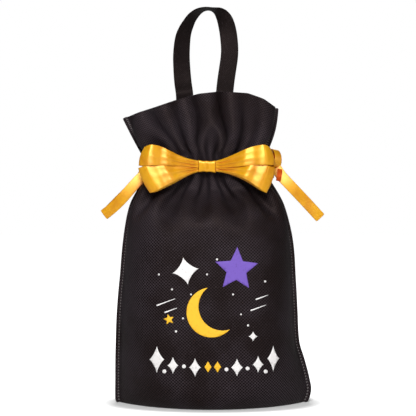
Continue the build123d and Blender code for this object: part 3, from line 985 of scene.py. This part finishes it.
upper = [
    (bow_loop([(7.6, 5.4), (16, 7.0), (25, 9.6), (36, 15.0), (46, 19.4), (54, 20.6), (60.5, 18.6)],
              [(7.6, -1.4), (24, -0.2), (40, 0.3), (54, 0.2), (66.0, 0.4)],
              [(0.52, 0.11, 1.7), (0.84, 0.10, 1.9)],
              [(0.12, 0.10, 1.6), (0.48, 0.09, 1.9), (0.85, 0.10, 1.2)], -1, 0.0), -1),
    (bow_loop([(7.6, 5.0), (16, 7.4), (25, 11.0), (38, 16.6), (49, 20.0), (56, 20.4), (61, 18.0)],
              [(7.6, -1.4), (22, -1.4), (36, 0.0), (50, 0.9), (65.2, 1.0)],
              [(0.50, 0.11, 1.5), (0.85, 0.10, 2.0)],
              [(0.10, 0.10, 1.2), (0.40, 0.10, 2.0), (0.78, 0.10, 1.6)], 1, 0.0), 1),
]
lower = [
    (bow_loop([(7.6, 0.4), (24, 1.6), (40, 2.0), (54, 1.6), (66.6, -1.8)],
              [(7.6, -4.8), (14, -7.0), (26, -12.2), (38, -18.2), (48, -23.2), (55.2, -26.2)],
              [(0.54, 0.11, 1.5), (0.84, 0.10, 1.8)],
              [(0.16, 0.10, 1.4), (0.52, 0.10, 1.9), (0.84, 0.08, 1.2)], -1, 1.3), -1),
    (bow_loop([(7.6, 0.4), (22, 0.6), (36, 1.8), (50, 2.2), (66.0, -1.6)],
              [(7.6, -4.8), (15, -5.8), (24, -7.8), (35, -11.6), (46, -18.2), (57.6, -26.2)],
              [(0.56, 0.11, 1.5), (0.86, 0.09, 1.9)],
              [(0.20, 0.10, 1.6), (0.60, 0.10, 2.0)], 1, 1.3), 1),
]
bow_piece("bow_upper_ribbon", "bow_upper_loops", upper, 23.0)
bow_piece("bow_lower_ribbon", "bow_lower_loops", lower, 24.0)


def bow_wrap():
    """The short ribbon round the bow's middle, pinched a little, with soft pleats along it."""
    middle = (wrap_low + wrap_high) / 2
    half = (wrap_high - wrap_low) / 2 - 0.2
    turn = np.linspace(0, 2 * math.pi, 65)
    corner = 0.55
    y = np.sign(np.cos(turn)) * np.abs(np.cos(turn)) ** corner * half[1]
    z = np.sign(np.sin(turn)) * np.abs(np.sin(turn)) ** corner * half[2]
    columns = 23
    across = np.linspace(-1, 1, columns)
    grid = np.zeros((len(turn), columns, 3))
    for c, s in enumerate(across):
        waist = 1 - 0.09 * (1 - s * s) + 0.03 * math.cos(7 * s)
        pleat = 0.28 * math.cos(9.5 * s + 0.6) * (1 - s * s)
        grid[:, c, 0] = middle[0] + s * half[0] * (1 - 0.05 * np.cos(2 * turn))
        grid[:, c, 1] = middle[1] + y * (1 - 0.06 * s * s) + pleat * np.clip(-np.cos(turn), -1, 1)
        grid[:, c, 2] = middle[2] + z * waist - 0.3 * s
    uv = flat_grid(np.linspace(0, 17.0, columns), np.linspace(0, 34.0, len(turn)))[..., ::-1]
    piece = add_piece("bow_wrap_ribbon", grid, grid_faces(len(turn), columns, True), SATIN, "bag",
                      uv)
    edit_mesh(piece.data, join_seam)
    thicken(piece, WRAP, -1.0)
    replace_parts(piece, "bow_center_wrap")


bow_wrap()


# ---- handle
def handle_strap():
    """The strap: both ends welded to the back panel, and the free loop between them."""
    foot_low, _ = node_box("handle_strap_ends")
    feet = [foot_low[2], foot_low[2] + 14, foot_low[2] + 28]
    # Middle of the strap: x, z and its turn in degrees, 0 flat to the front, 90 edge-on.
    free = [
        (-29.1, HINGE[2], 0), (-30.8, 324, 4), (-31.9, 338, 12), (-32.3, 352, 18),
        (-31.1, 367, 28), (-28.8, 376, 41), (-25.6, 383, 52), (-21.5, 389.9, 62),
        (-16.3, 395.1, 73), (-11.2, 398.1, 84), (-6.2, 399.3, 90), (-1.9, 398.9, 90),
        (2.2, 397.4, 80), (6.6, 394.7, 58), (10.5, 390.5, 38), (13.4, 384.5, 23), (15.8, 374, 10),
        (17.2, 360, 2), (16.9, 349.5, 0), (15.3, 338, 0), (13.4, 325, 0), (12.0, HINGE[2], 0),
    ]
    rows = ([(-28.5, back_reach(-28.5, z) + STRAP, z, 0) for z in feet]
            + [(x, HINGE[1], z, turn) for x, z, turn in free]
            + [(11.6, back_reach(11.6, z) + STRAP, z, 0) for z in reversed(feet)])
    line = smooth_curve(rows, 220)
    turn = np.radians(line[:, 3:])
    along = unit(np.gradient(line[:, :3] * [1, 0, 1], axis=0))
    outward = np.cross(along, [0.0, 1.0, 0.0])
    wide = outward * np.cos(turn) + np.array([0, -1.0, 0]) * np.sin(turn)
    columns = 10
    grid = ribbon_grid(line[:, :3], wide, STRAP_WIDTH, columns)
    uv = flat_grid(np.linspace(0, STRAP_WIDTH, columns + 1), distances(line[:, :3]))[..., ::-1]
    piece = add_piece("handle_strap_cloth", grid, grid_faces(len(line), columns + 1), STRAP_BLACK,
                      None, uv)
    apply_thickness(piece, STRAP)
    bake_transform(piece)
    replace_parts(piece, "handle_loop", "handle_strap_ends")


def back_reach(x, z):
    """How far back the back panel stands, under the strap's width at a height."""
    near = ((np.abs(back_shape[..., 0] - x) < STRAP_WIDTH / 2 + 1)
            & (np.abs(back_shape[..., 2] - z) < 4))
    return float(back_shape[..., 1][near].max()) if near.any() else 28.0


def apply_thickness(piece, thickness):
    """Turn a surface into a solid strap, with its thickness and smoothing in the mesh itself."""
    thicken(piece, thickness)
    bpy.context.view_layer.update()
    graph = bpy.context.evaluated_depsgraph_get()
    solid = bpy.data.meshes.new_from_object(piece.evaluated_get(graph))
    piece.modifiers.clear()
    piece.data = solid


HINGE = [v / MM for v in next(j for j in frame["record"]["behaviour"]["joints"]
                              if j["name"] == "handle_swing")["pos_m"]]
handle_strap()


# ---- glue
glue = Nodes("clear_glue_finish")
glue_place = glue.add("TexCoord").outputs["Object"]
glue_lumps = glue.noise(glue_place, 260.0, 2.0)
glue.link(glue.bump(glue_lumps, 0.5, 0.0006), "Normal")
glue.link(glue.range(glue_lumps, 0.3, 0.7, 0.12, 0.24), "Roughness")
glue.set(Base_Color=linear(226, 214, 190), Transmission_Weight=0.6, IOR=1.48)
tack = frame["nodes"]["bow_tack"]
tack.data.materials.clear()
tack.data.materials.append(glue.material)


# ---- print on the front
def front_tree():
    """The front panel as a surface that a ray can meet, in millimetres."""
    rows, columns = front_shape.shape[:2]
    points = [Vector(point) for point in front_shape.reshape(-1, 3)]
    return BVHTree.FromPolygons(points, grid_faces(rows, columns))


FRONT = front_tree()
INK_ABOVE = CLOTH / 2 + 0.22


def on_front(x, z):
    """The place on the cloth that is seen at x, z on the plane of the side seams."""
    camera = Vector((CAMERA_X, -CAMERA_DISTANCE, CAMERA_Z))
    hit, normal, _, _ = FRONT.ray_cast(camera, Vector((x, 0, z)) - camera)
    if normal.y > 0:
        normal = -normal
    return hit + normal * INK_ABOVE


def filled(outline, step=2.4):
    """Small triangles that fill a flat outline, with more points along its long sides."""
    ring = []
    for start, end in zip(outline, outline[1:] + outline[:1]):
        pieces = max(1, math.ceil(math.dist(start, end) / step))
        for k in range(pieces):
            ring.append(Vector(start).lerp(Vector(end), k / pieces))
    low, high = np.min(outline, axis=0), np.max(outline, axis=0)
    inner = [Vector((x, z)) for x in np.arange(low[0] + step / 2, high[0], step)
             for z in np.arange(low[1] + step / 2, high[1], step)]
    points, _, faces, *_ = delaunay_2d_cdt(ring + inner, [], [list(range(len(ring)))], 1, 1e-4)
    return points, faces


def printed(name, outlines, slot):
    """A printed motif: flat outlines laid on the front panel's cloth."""
    points, faces = [], []
    for outline in outlines:
        flat, triangles = filled([tuple(map(float, point)) for point in outline])
        faces += [tuple(len(points) + i for i in triangle) for triangle in triangles]
        points += [tuple(on_front(x, z)) for x, z in flat]
    piece = add_piece(name, points, faces, INKS[slot], "bag")
    thicken(piece, INK, rounds=0)


def turned(points, middle, degrees):
    """Points turned about the origin and moved to a middle."""
    a = math.radians(degrees)
    return [(middle[0] + x * math.cos(a) - z * math.sin(a),
             middle[1] + x * math.sin(a) + z * math.cos(a)) for x, z in points]


def star(middle, outer, inner, points, degrees):
    ring = []
    for k in range(2 * points):
        radius = outer if k % 2 == 0 else inner
        angle = math.pi / 2 + math.pi * k / points
        ring.append((radius * math.cos(angle), radius * math.sin(angle)))
    return turned(ring, middle, degrees)


def sparkle(middle, wide, tall, degrees, power):
    """A four-pointed glint with hollow sides."""
    ring = []
    for k in range(32):
        angle = 2 * math.pi * k / 32
        c, s = math.cos(angle), math.sin(angle)
        ring.append((math.copysign(abs(c) ** power, c) * wide / 2,
                     math.copysign(abs(s) ** power, s) * tall / 2))
    return turned(ring, middle, degrees)


def dot(middle, radius):
    return [(middle[0] + radius * math.cos(a), middle[1] + radius * math.sin(a))
            for a in np.linspace(0, 2 * math.pi, 13)[:-1]]


def streak(tip, end, width):
    """A thin stroke, pointed at its far end."""
    tip, end = np.array(tip, dtype=float), np.array(end, dtype=float)
    along = (end - tip) / np.linalg.norm(end - tip)
    side = np.array([-along[1], along[0]]) * width / 2
    return [tuple(tip + side), tuple(tip - along * width / 2), tuple(tip - side),
            tuple(end - side * 0.35), tuple(end + side * 0.35)]


def crescent(middle, radius, hollow, shift, degrees):
    """A crescent moon: a disc with a larger disc taken out of its upper side."""
    meet = (radius**2 - hollow**2 + shift**2) / (2 * shift)
    outer_end = math.asin(meet / radius)
    inner_end = math.asin((meet - shift) / hollow)
    outer = [(radius * math.cos(a), radius * math.sin(a))
             for a in np.linspace(math.pi - outer_end, 2 * math.pi + outer_end, 40)]
    inner = [(hollow * math.cos(a), shift + hollow * math.sin(a))
             for a in np.linspace(2 * math.pi + inner_end, math.pi - inner_end, 40)[1:-1]]
    return turned(outer + inner, middle, degrees)


def diamond(middle, wide, tall):
    x, z = middle
    return [(x + wide / 2, z), (x, z + tall / 2), (x - wide / 2, z), (x, z - tall / 2)]


# A night sky: a moon on its side, one large star, glints, falling streaks and far stars.
FALLING = (7.0, 2.6)
streaks = [streak((x, z), (x + FALLING[0] * size, z + FALLING[1] * size), 1.5)
           for x, z, size in ((-56, 97, 2.6), (-48, 90, 1.7), (38, 92, 2.1), (43, 103, 1.7))]
far_stars = [dot(place, size) for *place, size in (
    (-41, 113, 1.1), (-30, 84, 1.0), (-37, 71, 1.2), (35, 77, 1.1), (20, 108, 1.0), (4, 143, 1.1),
    (-6, 128, 1.0), (-22, 108, 1.0), (52, 121, 1.1), (-54, 128, 1.0), (28, 88, 0.9))]
glints = [sparkle((-27.5, 131.5), 27, 28, 10, 2.7), sparkle((40, 66), 9, 10, 0, 2.7)]
row = [sparkle((x, z), wide, tall, 0, 2.6) for x, z, wide, tall in (
    (-56, 43, 15, 27), (-40, 37, 11, 17), (-18, 35, 12, 19), (24, 35, 12, 18), (45, 38, 11, 17),
    (60, 44, 12, 26))]
row += [dot((x, z), 2.0) for x, z in ((-48.5, 31), (-29, 36), (13.5, 33), (34.5, 34), (52.5, 31))]
printed("print_moon", [crescent((-1.5, 90), 25.0, 24.0, 12.5, -62)], "print_yellow")
printed("print_small_stars", [star((-44.0, 83.0), 5.5, 2.5, 5, 12), diamond((-5, 35.5), 7, 11),
                              diamond((4.5, 35.5), 7, 11)], "print_yellow")
printed("print_big_star", [star((23.5, 133.0), 22.5, 10.4, 5, -2)], "print_purple")
printed("print_glints", glints, "print_white")
printed("print_falling_stars", streaks + far_stars, "print_white")
printed("print_lower_row", row, "print_white")


# ---- camera, light and floor
camera_data = bpy.data.cameras.new("camera")
camera_data.sensor_width = 36.0
camera_data.lens = camera_data.sensor_width * CAMERA_DISTANCE / VIEW_WIDTH
camera = add_object("camera", camera_data)
camera.location = (CAMERA_X * MM, -CAMERA_DISTANCE * MM, CAMERA_Z * MM)
camera.rotation_euler = (math.radians(90), 0, 0)
bpy.context.scene.camera = camera
bpy.context.scene.view_settings.view_transform = "Standard"


def area_light(name, place, target, size, watts):
    light = bpy.data.lights.new(name, "AREA")
    light.shape = "DISK"
    light.size = size
    light.energy = watts
    lamp = add_object(name, light)
    lamp.location = place
    lamp.rotation_euler = (Vector(target) - Vector(place)).to_track_quat("-Z", "Y").to_euler()


area_light("key_light", (-0.12, -1.30, 0.92), (0, 0, 0.18), 0.60, 22.5)
area_light("fill_light", (0.75, -1.15, 0.45), (0, 0, 0.18), 0.6, 2.0)
area_light("back_light", (0.1, 1.1, 1.2), (0, 0, 0.2), 0.9, 6.0)

world = bpy.data.worlds.new("studio")
world.use_nodes = True
bpy.context.scene.world = world
tree = world.node_tree
room = tree.nodes["Background"]
room.inputs["Color"].default_value = (1, 1, 1, 1)
room.inputs["Strength"].default_value = 0.13
seen = tree.nodes.new("ShaderNodeBackground")
seen.inputs["Color"].default_value = (1, 1, 1, 1)
seen.inputs["Strength"].default_value = 1.0
ray = tree.nodes.new("ShaderNodeLightPath")
choose = tree.nodes.new("ShaderNodeMixShader")
tree.links.new(ray.outputs["Is Camera Ray"], choose.inputs[0])
tree.links.new(room.outputs[0], choose.inputs[1])
tree.links.new(seen.outputs[0], choose.inputs[2])
tree.links.new(choose.outputs[0], tree.nodes["World Output"].inputs["Surface"])

floor_half = 6.0
floor_mesh = bpy.data.meshes.new("floor")
floor_mesh.from_pydata([(-floor_half, -floor_half, 0), (floor_half, -floor_half, 0),
                        (floor_half, floor_half, 0), (-floor_half, floor_half, 0)], [],
                       [(0, 1, 2, 3)])
floor = add_object("floor", floor_mesh)
paper = Nodes("white_paper")
paper.set(Base_Color=(0.80, 0.80, 0.80, 1), Roughness=0.9, Specular_IOR_Level=0.1)
glow = paper.add("Emission", {"Color": (1, 1, 1, 1), "Strength": 1.0})
seen_ray = paper.add("LightPath").outputs["Is Camera Ray"]
floor_place = paper.add("Mapping", {"Vector": paper.add("TexCoord").outputs["Object"],
                                    "Scale": (1.0, 2.1, 1.0)}).outputs[0]
from_bag = paper.add("VectorMath", {0: floor_place}, operation="LENGTH").outputs["Value"]
glow_share = paper.math("MULTIPLY", seen_ray, paper.range(from_bag, 0.094, 0.128, 0.05, 1.0))
paper.tree.links.new(glow_share, glow.inputs["Strength"])
veil = paper.add("AddShader", {0: paper.shader.outputs[0], 1: glow.outputs[0]})
paper.tree.links.new(veil.outputs[0], paper.tree.nodes["Material Output"].inputs["Surface"])
floor_mesh.materials.append(paper.material)

bpy.context.view_layer.update()
